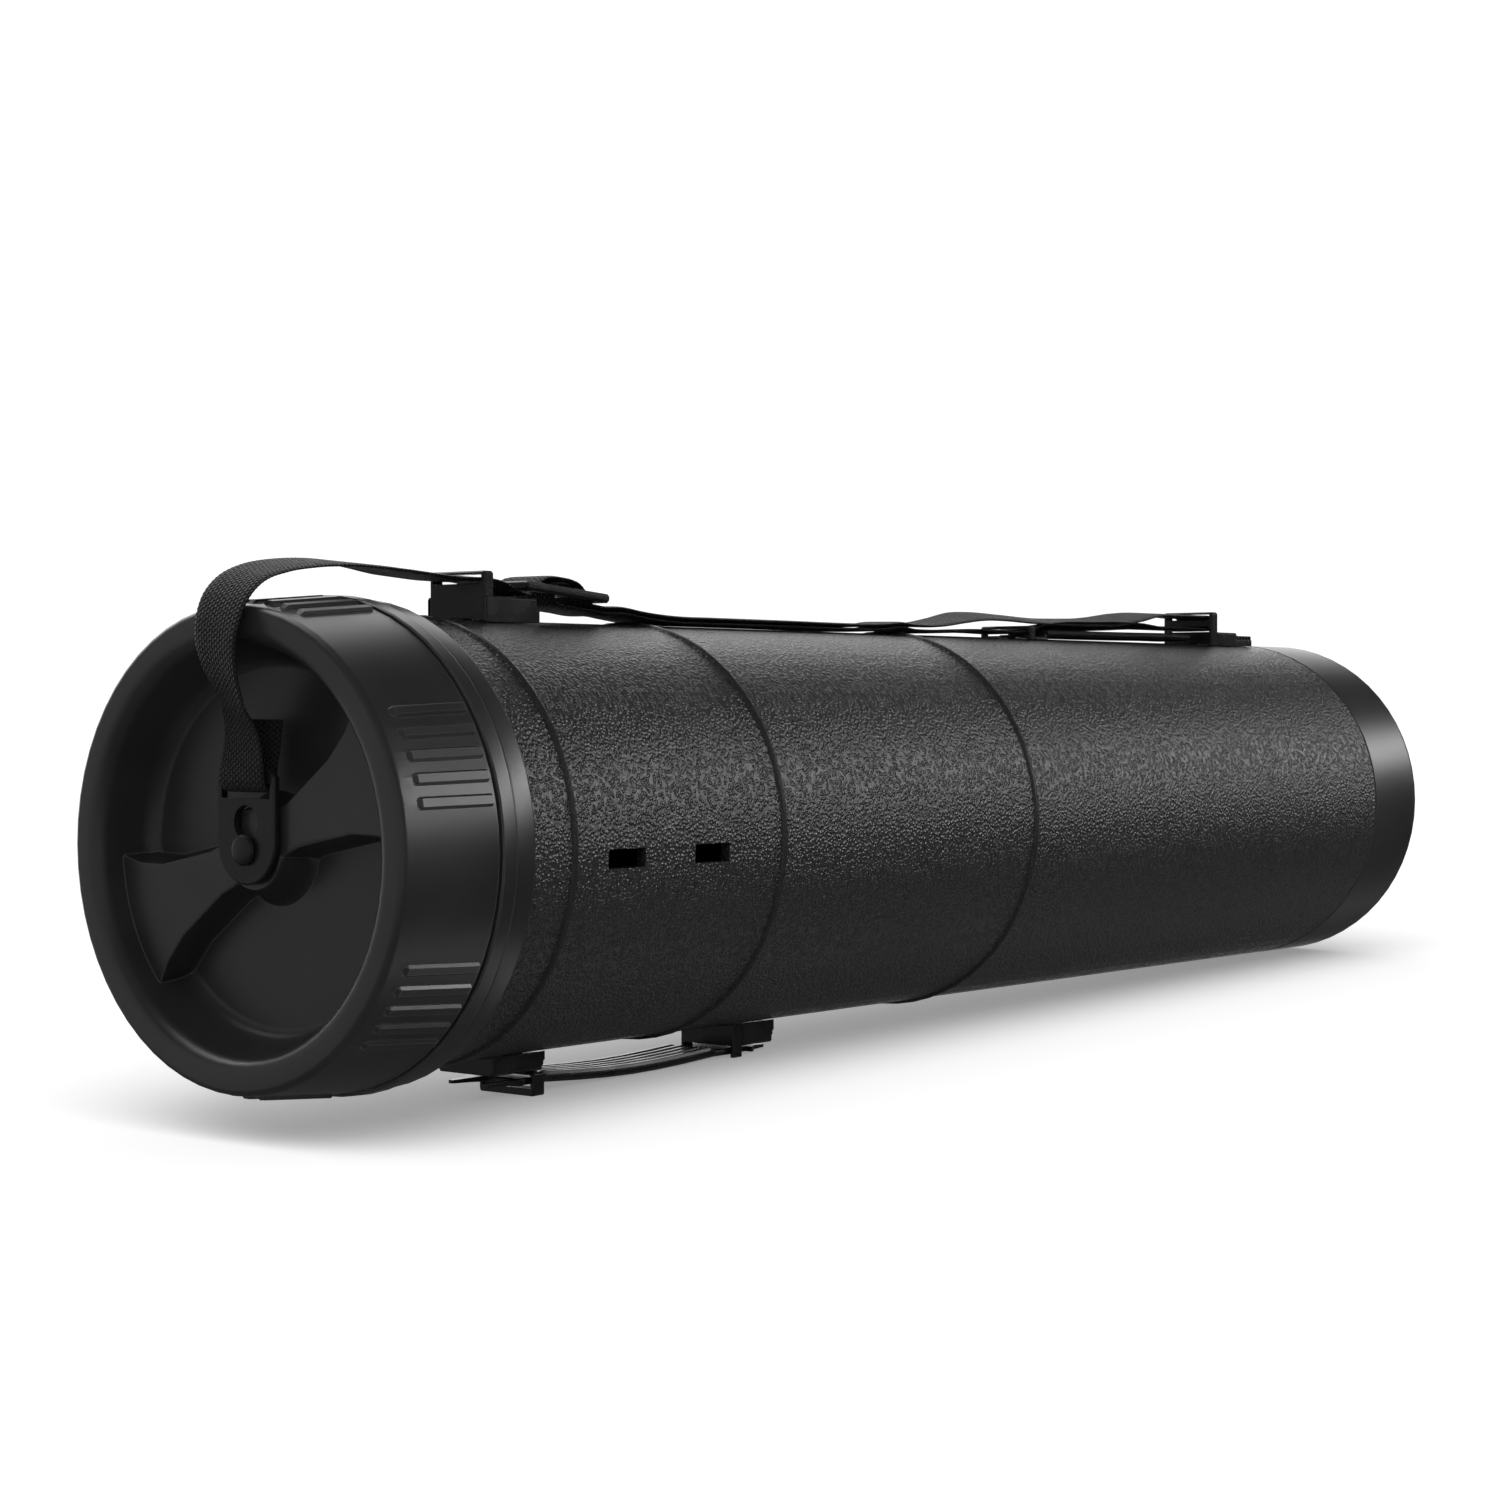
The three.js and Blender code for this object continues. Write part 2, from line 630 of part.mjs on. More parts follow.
// Strap from its folded end behind the keyhole tab, through the tab, over the rim to the front bracket.
function strapFront() {
  return ribbon([
    [11.4, 38.5, -4], [10.6, 30, -2], [9.8, 24, 0], [9.55, 20, 0], [8.9, 18.3, 0], [7.3, 17.6, 0],
    [5.7, 18.3, 0], [5.0, 20, 0], [4.85, 24, -2], [5.1, 30, -8], [4.4, 36, -14], [1.0, 43.5, -22],
    [-3.0, 51.5, -14], [-5.1, 60, -6], [-4.2, 68, 0], [-0.8, 75.0, 4], [5.2, 80.2, 6], [14, 83.4, 8],
    [25, 85.2, 8], [38, 86.0, 7], [52, 85.4, 4], [66, 84.1, 0], [84, 82.9, 0],
  ]);
}

function strapToSlider() {
  return ribbon([[84.3, 82.9], [95, 82.75], [101, 82.7], [107, 81.7], [112, 79.6], onSlider(-17.6, -2.6)]);
}

function strapInSlider() {
  return ribbon([
    onSlider(-17.3, -2.6), onSlider(-15.2, -2.5), onSlider(-13.2, -0.7), onSlider(-11, 1.6), onSlider(-8, 3.6),
    onSlider(-4, 4.4), onSlider(0, 4.5), onSlider(4, 4.4), onSlider(8, 3.6), onSlider(11, 1.6),
    onSlider(13.2, -0.7), onSlider(15.2, -2.5), onSlider(17.3, -2.6),
  ]);
}

// Upper and lower layers between the slider and the tube wall.
const LAID = 210;              // station from which both layers lie on the tube

function strapFromSlider() {
  const z = STRAP_ON_TUBE + LAYER;
  return ribbon([
    onSlider(17.6, -2.6), onSlider(22, -2.7), [164, 75.2], [174.4, z + OVER_BEAD], [184, z + 0.5], [196, z], [LAID, z],
  ]);
}

function strapEndLink() {
  const z = STRAP_ON_TUBE;
  return ribbon([
    onSlider(6.6, -4.5), onSlider(14, -4.45), onSlider(22, -4.6), [164, 73.4], [174.4, z + OVER_BEAD],
    [184, z + 0.4], [196, z], [LAID, z],
  ]);
}

function strapEndLoop() {
  return ribbon([
    onSlider(6.3, -4.5), onSlider(1, -4.4), onSlider(-2.4, -3.8), onSlider(-3.9, -1.8), onSlider(-3.8, 0.6),
    onSlider(-2.7, 2.4), onSlider(0, 2.8), onSlider(2.7, 2.4), onSlider(3.8, 0.6), onSlider(3.7, -1.6),
  ]);
}

// Long doubled run: back along the top, through the rear bracket's plate, round and forward again below.
function strapBack() {
  const low = STRAP_ON_TUBE;
  const high = low + LAYER;
  return ribbon([
    [LAID + GAP, high], [250, high], [300, high], [316, high + 0.6], [323.8, high + OVER_BEAD, 1],
    [334, high + 0.9, 2], [350, 74.0, 3], [366, 76.0, 5], [380, 77.9, 9], [394, 78.3, 10], [416, 77.7, 10],
    [438, 77.2, 8], [460, 77.4, 9], [477, 77.9, 10], [500, 80.4, 9], [514, 82.0, 4], [530, 82.1, 2],
    [546, 81.9, 0], [559.4, 81.7, 0], [561.4, 80.8, 0], [562.1, 79.1, 0], [561.4, 77.4, 0], [559.4, 76.5, 0],
    [546, 76.45, 0], [530, 76.45, 0], [514, 76.4, 0], [500, 75.9], [484, 75.1], [466, 74.5], [440, 73.6], [420, 72.7],
    [409, 72.3], [390, 72.25], [374, 72.2], [360, 71.6], [334, low + 0.4], [323.8, low + OVER_BEAD],
    [314, low + 0.4], [300, low], [250, low], [LAID + GAP, low],
  ]);
}

// Spare end of the strap, lying on the tube between the middle and rear brackets.
function strapTail() {
  const z = STRAP_ON_TUBE;
  return ribbon([[425, z], [440, z + 0.6], [470, z + 1.4], [500, z + 1.2], [520, z + 0.5], [539, z + 0.2]]);
}

// ---------------------------------------------------------------- slider and handle
function slider() {
  const [half, wide, thick] = [20, 13, 1.5];
  let body = block([-half, -wide, -thick], [half, wide, thick], 0.9);
  for (const side of [-1, 1]) {
    const [from, to] = side < 0 ? [-16, -2.2] : [2.2, 16];
    body = body.subtract(box([from, -PASSAGE, -thick - 1], [to, PASSAGE, thick + 1]));
  }
  const geometry = geometryOf(body);
  geometry.rotateY(THREE.MathUtils.degToRad(-SLIDER_SLOPE));
  const [station, z] = SLIDER_MIDDLE;
  geometry.translate(at(station), 0, z);
  return solid(geometry);
}

const BAND_HALF = 10;
const BAND_INNER = TUBE_R + 7.6;
const BAND_OUTER = TUBE_R + 9.9;
const BAND_RIBS = 5;
const BAND_FROM = 125;         // ribbed length of the handle band, between its brackets
const BAND_TO = 212;
const BAND_BOW = 1.8;
const BAND_FADE = 3.2;          // length over which the ribs sink in at each end

// Outline of the ribbed band across its width, with the ribs facing the tube.
function bandOutline(station, ribHigh) {
  const bow = BAND_BOW * Math.sin((Math.PI * (station - BAND_FROM)) / (BAND_TO - BAND_FROM));
  const [pitch, top, foot] = [4.1, 0.7, 1.2];
  const loop = [];
  for (let i = 0; i < BAND_RIBS; i += 1) {
    const y = (i - (BAND_RIBS - 1) / 2) * pitch;
    loop.push([y - foot, 0], [y - top, ribHigh], [y + top, ribHigh], [y + foot, 0]);
  }
  loop.push([BAND_HALF, 0], [BAND_HALF, -1.6], [BAND_HALF - 0.7, -2.3], [0.7 - BAND_HALF, -2.3]);
  loop.push([-BAND_HALF, -1.6], [-BAND_HALF, 0]);
  return loop.map(([y, up]) => [at(station), y, -(BAND_INNER + bow) + up]);
}

function handleBand() {
  const sections = [bandOutline(BAND_FROM, 0.15)];
  const steps = 6;
  const [first, last] = [BAND_FROM + BAND_FADE, BAND_TO - BAND_FADE];
  for (let i = 0; i <= steps; i += 1) {
    sections.push(bandOutline(first + ((last - first) * i) / steps, 1.2));
  }
  sections.push(bandOutline(BAND_TO, 0.15));
  let body = skinned(sections);
  for (const [root, tip] of [[112.1, 99.5], [225, 240]]) {
    const inner = root < tip ? BAND_TO - 0.5 : BAND_FROM + 0.5;
    const [from, to] = [Math.min(root, inner), Math.max(root, inner)];
    body = body.add(block([at(from), -BAND_HALF, -BAND_OUTER], [at(to), BAND_HALF, -BAND_INNER], 0.5));
    body = body.add(handleFork(root, tip, 1)).add(handleFork(root, tip, -1));
  }
  return body;
}

// One springy prong of the handle's split end, with a barb that stops it in its bracket.
function handleFork(root, tip, side) {
  const out = Math.sign(tip - root);
  const low = -BAND_OUTER + 0.3;
  const high = -BAND_INNER - 0.2;
  const prong = (station, inner, outer, z0, z1) => [
    [at(station), side * inner, z0], [at(station), side * outer, z0],
    [at(station), side * outer, z1], [at(station), side * inner, z1],
  ];
  const stop = root + out * (root < tip ? 4 : 0.2);
  return skinned([
    prong(root - out, 5.2, 9.8, low, high),
    prong(stop - out * 0.3, 5.2, 9.8, low, high),
    prong(stop, 5.3, 12.4, low, high),
    prong(stop + out * 1.4, 5.5, 12.2, low, high),
    prong(stop + out * 4.6, 5.9, 9.6, low + 0.2, high - 0.1),
    prong(tip, 7.2, 9.0, low + 0.4, high - 0.3),
  ]);
}

// ---------------------------------------------------------------- assembly
const slots = SPARE_SLOTS.map((station) => [station, SPARE_SLOT_ANGLE]);
for (const bracket of BRACKETS) {
  slots.push([bracket.slot, bracket.over ? -90 : 90]);
}

const SATIN = 0x1b1b1e;
const GRAINED = 0x17171a;
const GLOSSY = 0x141416;
const WEBBING = 0x101011;
const GASKET = 0x26262a;

add('tube_body', geometryOf(tubeBody(slots)), GRAINED, 0.62);
add('neck_collar', geometryOf(neckCollar()), SATIN, 0.42);
add('end_cap', geometryOf(endCap()), SATIN, 0.45);
add('cap_shell', geometryOf(capShell()), SATIN, 0.42);
add('cap_gasket', geometryOf(capGasket()), GASKET, 0.9);
add('lid_stud', geometryOf(lidStud()), GLOSSY, 0.3);
add('keyhole_tab', geometryOf(keyholeTab()), GLOSSY, 0.32);
for (const bracket of BRACKETS) {
  const place = bracket.over ? turnedOver : (manifold) => manifold;
  add(bracket.name, geometryOf(place(bracketPlate(bracket))), GLOSSY, 0.32);
  add(`${bracket.name}_lock`, geometryOf(place(lockBlock(bracket))), GLOSSY, 0.36);
}
add('strap_slider', geometryOf(slider()), GLOSSY, 0.32);
add('strap_front', geometryOf(strapFront()), WEBBING, 0.85);
add('strap_to_slider', geometryOf(strapToSlider()), WEBBING, 0.85);
add('strap_in_slider', geometryOf(strapInSlider()), WEBBING, 0.85);
add('strap_from_slider', geometryOf(strapFromSlider()), WEBBING, 0.85);
add('strap_end_loop', geometryOf(strapEndLoop()), WEBBING, 0.85);
add('strap_end_link', geometryOf(strapEndLink()), WEBBING, 0.85);
add('strap_back', geometryOf(strapBack()), WEBBING, 0.85);
add('strap_tail', geometryOf(strapTail()), WEBBING, 0.85);
add('handle_band', geometryOf(handleBand()), GLOSSY, 0.36);

export default group;
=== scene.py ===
import json
import math

import bpy
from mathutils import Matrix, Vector


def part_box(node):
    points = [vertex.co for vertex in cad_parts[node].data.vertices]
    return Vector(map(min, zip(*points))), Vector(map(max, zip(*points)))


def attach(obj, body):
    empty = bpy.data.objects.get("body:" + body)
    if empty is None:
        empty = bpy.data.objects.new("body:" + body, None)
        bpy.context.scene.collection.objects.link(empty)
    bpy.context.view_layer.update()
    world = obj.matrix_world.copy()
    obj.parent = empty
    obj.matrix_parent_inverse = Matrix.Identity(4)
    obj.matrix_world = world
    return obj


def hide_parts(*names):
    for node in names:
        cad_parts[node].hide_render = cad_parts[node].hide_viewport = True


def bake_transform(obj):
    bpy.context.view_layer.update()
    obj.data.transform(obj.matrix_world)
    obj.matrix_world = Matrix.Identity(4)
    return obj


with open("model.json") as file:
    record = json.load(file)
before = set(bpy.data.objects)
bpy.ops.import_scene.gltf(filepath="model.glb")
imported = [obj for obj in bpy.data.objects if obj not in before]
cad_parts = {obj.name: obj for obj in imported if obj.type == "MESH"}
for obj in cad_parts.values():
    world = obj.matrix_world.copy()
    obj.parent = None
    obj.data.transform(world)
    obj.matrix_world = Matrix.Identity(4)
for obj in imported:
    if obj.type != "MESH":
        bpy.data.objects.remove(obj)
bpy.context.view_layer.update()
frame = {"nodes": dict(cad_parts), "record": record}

# ---------------------------------------------------------------- sizes from the frame, in metres
MM = 0.001
CAP_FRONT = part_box("cap_shell")[0].x
FAR_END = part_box("end_cap")[1].x
TUBE_R = 70 * MM


def at(station):
    """X of a station, which is a distance in millimetres behind the cap's front face."""
    return CAP_FRONT + station * MM


# ---------------------------------------------------------------- camera
CAMERA_FROM_CAP = Vector((-0.556875, -0.642990, 0.042199))
CAMERA_YAW = math.radians(51.224)     # turned from +Y towards +X
CAMERA_PITCH = math.radians(0.866)    # looking down
CAMERA_LENS = 68.5747


def make_camera():
    data = bpy.data.cameras.new("camera")
    data.lens = CAMERA_LENS
    data.sensor_width = 36
    data.clip_start = 0.01
    data.clip_end = 100
    camera = bpy.data.objects.new("camera", data)
    bpy.context.scene.collection.objects.link(camera)
    camera.location = Vector((CAP_FRONT, 0, 0)) + CAMERA_FROM_CAP
    forward = Vector((
        math.sin(CAMERA_YAW) * math.cos(CAMERA_PITCH),
        math.cos(CAMERA_YAW) * math.cos(CAMERA_PITCH),
        -math.sin(CAMERA_PITCH),
    ))
    camera.rotation_euler = forward.to_track_quat("-Z", "Y").to_euler()
    bpy.context.scene.camera = camera


make_camera()


# ---------------------------------------------------------------- material helpers
class Shader:
    """A Principled material with short calls for adding and linking nodes."""

    def __init__(self, name, colour, roughness, **sockets):
        self.material = bpy.data.materials.new(name)
        self.material.use_nodes = True
        self.tree = self.material.node_tree
        self.surface = self.tree.nodes["Principled BSDF"]
        self.surface.inputs["Base Color"].default_value = (*colour, 1)
        self.surface.inputs["Roughness"].default_value = roughness
        for socket, value in sockets.items():
            self.surface.inputs[socket.replace("_", " ")].default_value = value

    def node(self, kind, inputs=None, **settings):
        made = self.tree.nodes.new(kind)
        for key, value in settings.items():
            setattr(made, key, value)
        for key, value in (inputs or {}).items():
            if isinstance(value, bpy.types.NodeSocket):
                self.tree.links.new(value, made.inputs[key])
            else:
                made.inputs[key].default_value = value
        return made

    def maths(self, operation, *values):
        return self.node("ShaderNodeMath", dict(enumerate(values)), operation=operation).outputs[0]

    def vector_maths(self, operation, *values):
        return self.node("ShaderNodeVectorMath", dict(enumerate(values)), operation=operation).outputs[0]

    def ranged(self, value, low, high, to_low=0.0, to_high=1.0, smooth=False):
        inputs = {"Value": value, "From Min": low, "From Max": high, "To Min": to_low, "To Max": to_high}
        kind = "SMOOTHSTEP" if smooth else "LINEAR"
        return self.node("ShaderNodeMapRange", inputs, interpolation_type=kind).outputs[0]

    def noise(self, where, scale, detail=2.0, rough=0.5):
        inputs = {"Vector": where, "Scale": scale, "Detail": detail, "Roughness": rough}
        return self.node("ShaderNodeTexNoise", inputs)

    def bump(self, height, depth, below=None, strength=1.0):
        """Normal for a height of the given depth in metres, over the normal below it."""
        inputs = {"Height": height, "Distance": depth, "Strength": strength}
        if below is not None:
            inputs["Normal"] = below
        return self.node("ShaderNodeBump", inputs).outputs[0]

    def mixed(self, share, first, second):
        made = self.node("ShaderNodeMix", data_type="RGBA")
        colours = [s for s in made.inputs if s.type == "RGBA"]
        for socket, value in ((made.inputs[0], share), (colours[0], first), (colours[1], second)):
            if isinstance(value, bpy.types.NodeSocket):
                self.tree.links.new(value, socket)
            else:
                socket.default_value = value if socket.type == "VALUE" else (*value, 1)
        return [s for s in made.outputs if s.type == "RGBA"][0]

    def place(self):
        return self.node("ShaderNodeTexCoord").outputs["Object"]

    def along_strap(self):
        return self.node("ShaderNodeTexCoord").outputs["UV"]

    def rounded(self, radius):
        """Normal as if the edges were rounded off to the radius."""
        return self.node("ShaderNodeBevel", {"Radius": radius}, samples=4).outputs[0]

    def edge_wear_and_highlight(self, radius):
        """1 on outer edges, 0 on faces; the mask for edge wear and for painted edge highlights."""
        rounded = self.rounded(radius)
        true = self.node("ShaderNodeNewGeometry").outputs["Normal"]
        dot = self.node("ShaderNodeVectorMath", {0: rounded, 1: true}, operation="DOT_PRODUCT")
        return self.ranged(dot.outputs["Value"], 0.995, 0.80)

    def finish(self, colour=None, roughness=None, normal=None):
        for name, value in (("Base Color", colour), ("Roughness", roughness), ("Normal", normal)):
            if value is not None:
                self.tree.links.new(value, self.surface.inputs[name])
        return self.material


# ---------------------------------------------------------------- materials
PEBBLES_PER_METRE = 820
PEBBLE_HEIGHT = 0.24 * MM
PEBBLE_DRIFT = 0.5 * MM        # how far the pebbles are pulled out of shape
GRAIN_FADES = 0.10 * MM        # height above the wall where the grain begins to fade
GRAIN_ENDS = 0.30 * MM


def grained_plastic():
    """Black moulded plastic with a fine leather grain, left smooth on the tube's raised beads."""
    s = Shader("grained_plastic", (0.010, 0.010, 0.011), 0.34, IOR=1.46)
    where = s.place()
    warp = s.noise(where, 520, 2).outputs["Color"]
    centred = s.vector_maths("SUBTRACT", warp, (0.5, 0.5, 0.5))
    drift = s.vector_maths("MULTIPLY", centred, (PEBBLE_DRIFT, PEBBLE_DRIFT, PEBBLE_DRIFT))
    shifted = s.vector_maths("ADD", where, drift)
    cells = s.node("ShaderNodeTexVoronoi", {"Vector": shifted, "Scale": PEBBLES_PER_METRE}, feature="F1")
    pebbles = s.ranged(cells.outputs["Distance"], 0.75, 0.05, smooth=True)
    tone = cells.outputs["Color"]
    swell = s.noise(where, 900, 3).outputs["Fac"]
    fine = s.noise(where, 3600, 2).outputs["Fac"]
    height = s.maths("ADD", pebbles, s.maths("MULTIPLY", swell, 0.5))
    split = s.node("ShaderNodeSeparateXYZ", {0: where})
    across = s.node("ShaderNodeCombineXYZ", {1: split.outputs[1], 2: split.outputs[2]}).outputs[0]
    radius = s.node("ShaderNodeVectorMath", {0: across}, operation="LENGTH").outputs["Value"]
    on_wall = s.ranged(radius, TUBE_R + GRAIN_ENDS, TUBE_R + GRAIN_FADES)
    normal = s.bump(height, PEBBLE_HEIGHT, s.bump(fine, 0.01 * MM), strength=on_wall)
    patchy = s.noise(where, 14, 3).outputs["Fac"]
    rough = s.maths("ADD", s.ranged(pebbles, 0, 1, 0.42, 0.21), s.ranged(patchy, 0.3, 0.7, -0.02, 0.02))
    # painted shade: the gaps between the pebbles are darker than their tops
    shade = s.mixed(pebbles, (0.006, 0.006, 0.0065), (0.012, 0.012, 0.0125))
    shade = s.mixed(s.ranged(tone, 0, 1, 0, 0.35), shade, (0.018, 0.018, 0.019))
    return s.finish(shade, rough, normal)


def satin_plastic():
    """Smooth satin black plastic with a faint moulded texture and a painted highlight along its edges.
    """
    s = Shader("satin_plastic", (0.011, 0.011, 0.0115), 0.32, IOR=1.46)
    where = s.place()
    fine = s.noise(where, 2600, 3).outputs["Fac"]
    patchy = s.noise(where, 22, 4).outputs["Fac"]
    wear_and_highlight = s.edge_wear_and_highlight(0.7 * MM)
    shade = s.mixed(s.ranged(patchy, 0.35, 0.65), (0.009, 0.009, 0.0095), (0.013, 0.013, 0.0135))
    # painted highlight: the outer edges are mixed halfway towards a light grey
    shade = s.mixed(s.maths("MULTIPLY", wear_and_highlight, 0.5), shade, (0.10, 0.10, 0.103))
    rough = s.maths("ADD", s.ranged(patchy, 0.3, 0.7, 0.30, 0.35), s.ranged(fine, 0.3, 0.7, -0.02, 0.02))
    return s.finish(shade, rough, s.bump(fine, 0.02 * MM))


def glossy_plastic(name, colour, low, high):
    """Semi-gloss black plastic of the small mouldings, painted brighter along its edges, partly as wear
    and partly as a painted highlight.
    """
    s = Shader(name, colour, (low + high) / 2, IOR=1.34)
    where = s.place()
    fine = s.noise(where, 1900, 3).outputs["Fac"]
    patchy = s.noise(where, 90, 4).outputs["Fac"]
    wear_and_highlight = s.edge_wear_and_highlight(0.5 * MM)
    lighter = tuple(3.2 * c for c in colour)
    shade = s.mixed(s.ranged(patchy, 0.3, 0.7), colour, tuple(1.35 * c for c in colour))
    # edge wear and painted highlight: the outer edges are mixed towards a colour 3.2 times lighter
    shade = s.mixed(s.maths("MULTIPLY", wear_and_highlight, 0.4), shade, lighter)
    normal = s.bump(fine, 0.025 * MM, s.rounded(0.35 * MM))
    return s.finish(shade, s.ranged(patchy, 0.3, 0.7, low, high), normal)


WEFT = 1.6 * MM      # pitch of the cross-ribs along the strap
WARP = 1.25 * MM     # pitch of the yarns across the strap
WEAVE_DEPTH = 0.7 * MM


def webbing():
    """Black woven webbing: staggered yarns between cross-ribs, laid out along the strap's own UVs."""
    colour, shine = (0.004, 0.004, 0.0044), 0.55
    s = Shader("black_webbing", colour, shine, Sheen_Weight=0.02, Sheen_Roughness=0.4, IOR=1.3)
    split = s.node("ShaderNodeSeparateXYZ", {0: s.along_strap()})
    along, across = split.outputs[0], split.outputs[1]
    column = s.maths("FLOOR", s.maths("DIVIDE", across, WARP))
    odd = s.maths("MODULO", s.maths("ABSOLUTE", column), 2.0)
    phase = s.maths("ADD", s.maths("DIVIDE", along, WEFT), s.maths("MULTIPLY", odd, 0.5))
    rib = s.maths("ABSOLUTE", s.maths("SINE", s.maths("MULTIPLY", phase, math.pi)))
    strands = s.maths("DIVIDE", across, WARP)
    yarn = s.maths("ABSOLUTE", s.maths("SINE", s.maths("MULTIPLY", strands, math.pi)))
    weave = s.maths("MULTIPLY", s.maths("POWER", rib, 0.7), s.maths("POWER", yarn, 0.45))
    where = s.place()
    fibre = s.noise(where, 5200, 3, 0.6).outputs["Fac"]
    patchy = s.noise(where, 60, 3).outputs["Fac"]
    # painted shade: the gaps between the yarns are darker than the raised yarns
    shade = s.mixed(weave, tuple(0.35 * c for c in colour), tuple(1.5 * c for c in colour))
    shade = s.mixed(s.ranged(patchy, 0.3, 0.7, 0, 0.3), shade, tuple(2.2 * c for c in colour))
    rough = s.ranged(weave, 0, 1, shine + 0.25, shine - 0.08)
    normal = s.bump(weave, WEAVE_DEPTH, s.bump(fibre, 0.1 * MM))
    return s.finish(shade, rough, normal)


def foam_rubber():
    """Dark sponge of the sealing ring, with fine pores."""
    s = Shader("foam_rubber", (0.03, 0.03, 0.03), 0.9)
    where = s.place()
    pores = s.node("ShaderNodeTexVoronoi", {"Vector": where, "Scale": 900}).outputs["Distance"]
    # painted shade: the pores are darker than the sponge around them
    shade = s.mixed(pores, (0.012, 0.012, 0.012), (0.04, 0.04, 0.04))
    return s.finish(shade, s.ranged(pores, 0, 1, 0.95, 0.8), s.bump(pores, 0.2 * MM))


FINISHES = {
    "grained_shell": grained_plastic(),
    "satin_shell": satin_plastic(),
    "gloss_fittings": glossy_plastic("gloss_fittings_plastic", (0.0045, 0.0045, 0.0048), 0.22, 0.32),
    "handle_band": glossy_plastic("handle_band_plastic", (0.004, 0.004, 0.0043), 0.24, 0.34),
    "webbing": webbing(),
    "gasket": foam_rubber(),
}


def dress_cad_nodes():
    slots = {part["node"]: part["material_slot"] for part in frame["record"]["subparts"]}
    for name, node in frame["nodes"].items():
        for index in range(len(node.material_slots)):
            node.material_slots[index].link = "OBJECT"
            node.material_slots[index].material = FINISHES[slots[name]]


dress_cad_nodes()


# ---------------------------------------------------------------- shading of the CAD nodes
SHARP_EDGE = 32                # degrees
WELD = 0.002 * MM


def smoothing_group(name, angle):
    """Geometry nodes that weld a node's facets and shade it smooth, but for its sharper edges."""
    group = bpy.data.node_groups.new(name, "GeometryNodeTree")
    group.interface.new_socket("Geometry", in_out="INPUT", socket_type="NodeSocketGeometry")
    group.interface.new_socket("Geometry", in_out="OUTPUT", socket_type="NodeSocketGeometry")
    nodes, links = group.nodes, group.links
    start = nodes.new("NodeGroupInput")
    weld = nodes.new("GeometryNodeMergeByDistance")
    weld.inputs["Distance"].default_value = WELD
    bend = nodes.new("GeometryNodeInputMeshEdgeAngle")
    sharp = nodes.new("FunctionNodeCompare")
    sharp.operation = "GREATER_THAN"
    sharp.inputs[1].default_value = math.radians(angle)
    normals = nodes.new("GeometryNodeSetMeshNormal")
    normals.mode = "SHARPNESS"
    normals.inputs["Remove Custom"].default_value = True
    end = nodes.new("NodeGroupOutput")
    links.new(start.outputs[0], weld.inputs["Geometry"])
    links.new(weld.outputs[0], normals.inputs["Mesh"])
    links.new(bend.outputs["Unsigned Angle"], sharp.inputs[0])
    links.new(sharp.outputs[0], normals.inputs["Edge Sharpness"])
    links.new(normals.outputs[0], end.inputs[0])
    return group


def smooth_cad_nodes():
    group = smoothing_group("smooth_facets", SHARP_EDGE)
    for node in frame["nodes"].values():
        node.modifiers.new("smooth_facets", "NODES").node_group = group
        weighted = node.modifiers.new("flat_faces", "WEIGHTED_NORMAL")
        weighted.keep_sharp = True
        weighted.weight = 80


smooth_cad_nodes()


# ---------------------------------------------------------------- webbing strap
STRAP_W = 20 * MM
STRAP_T = 1.4 * MM
FOLDED_T = 3.4 * MM            # spare end of the strap, folded double
SELVEDGE = 0.12 * MM           # how far the edge draws in between two cross-ribs
RIB_STEPS = 4                  # sections for each cross-rib
CURVE_STEPS = 24               # points on the fine curve for each stop
ACROSS = [-1, -0.985, -0.94, -0.82, -0.6, -0.3, 0, 0.3, 0.6, 0.82, 0.94, 0.985, 1]


def smooth_point(points, share):
    """Point on a centripetal Catmull-Rom curve through the points; share runs from 0 to 1."""
    span = share * (len(points) - 1)
    i = min(int(span), len(points) - 2)
    w = span - i
    p1, p2 = points[i], points[i + 1]
    p0 = points[i - 1] if i > 0 else 2 * p1 - p2
    p3 = points[i + 2] if i + 2 < len(points) else 2 * p2 - p1
    d0, d1, d2 = (math.sqrt((b - a).length) for a, b in ((p0, p1), (p1, p2), (p2, p3)))
    t1 = ((p1 - p0) / d0 - (p2 - p0) / (d0 + d1) + (p2 - p1) / d1) * d1
    t2 = ((p2 - p1) / d1 - (p3 - p1) / (d1 + d2) + (p3 - p2) / d2) * d1
    return p1 + t1 * w + (3 * (p2 - p1) - 2 * t1 - t2) * w ** 2 + (2 * (p1 - p2) + t1 + t2) * w ** 3


def even_sections(stops, step):
    """Evenly spaced (point, roll, distance along) down the middle of a strap length."""
    points = [Vector((at(stop[0]), 0, stop[1] * MM)) for stop in stops]
    rolls = [stop[2] if len(stop) > 2 else 0 for stop in stops]
    fine = CURVE_STEPS * (len(points) - 1)
    line = [smooth_point(points, i / fine) for i in range(fine + 1)]
    run = [0.0]
    for a, b in zip(line, line[1:]):
        run.append(run[-1] + (b - a).length)
    count = max(2, round(run[-1] / step))
    made = []
    j = 0
    for i in range(count + 1):
        goal = run[-1] * i / count
        while j < fine - 1 and run[j + 1] < goal:
            j += 1
        part = (goal - run[j]) / (run[j + 1] - run[j])
        spot = (j + part) / CURVE_STEPS
        k = min(int(spot), len(rolls) - 2)
        roll = rolls[k] + (rolls[k + 1] - rolls[k]) * (spot - k)
        made.append((line[j].lerp(line[j + 1], part), math.radians(roll), goal))
    return made


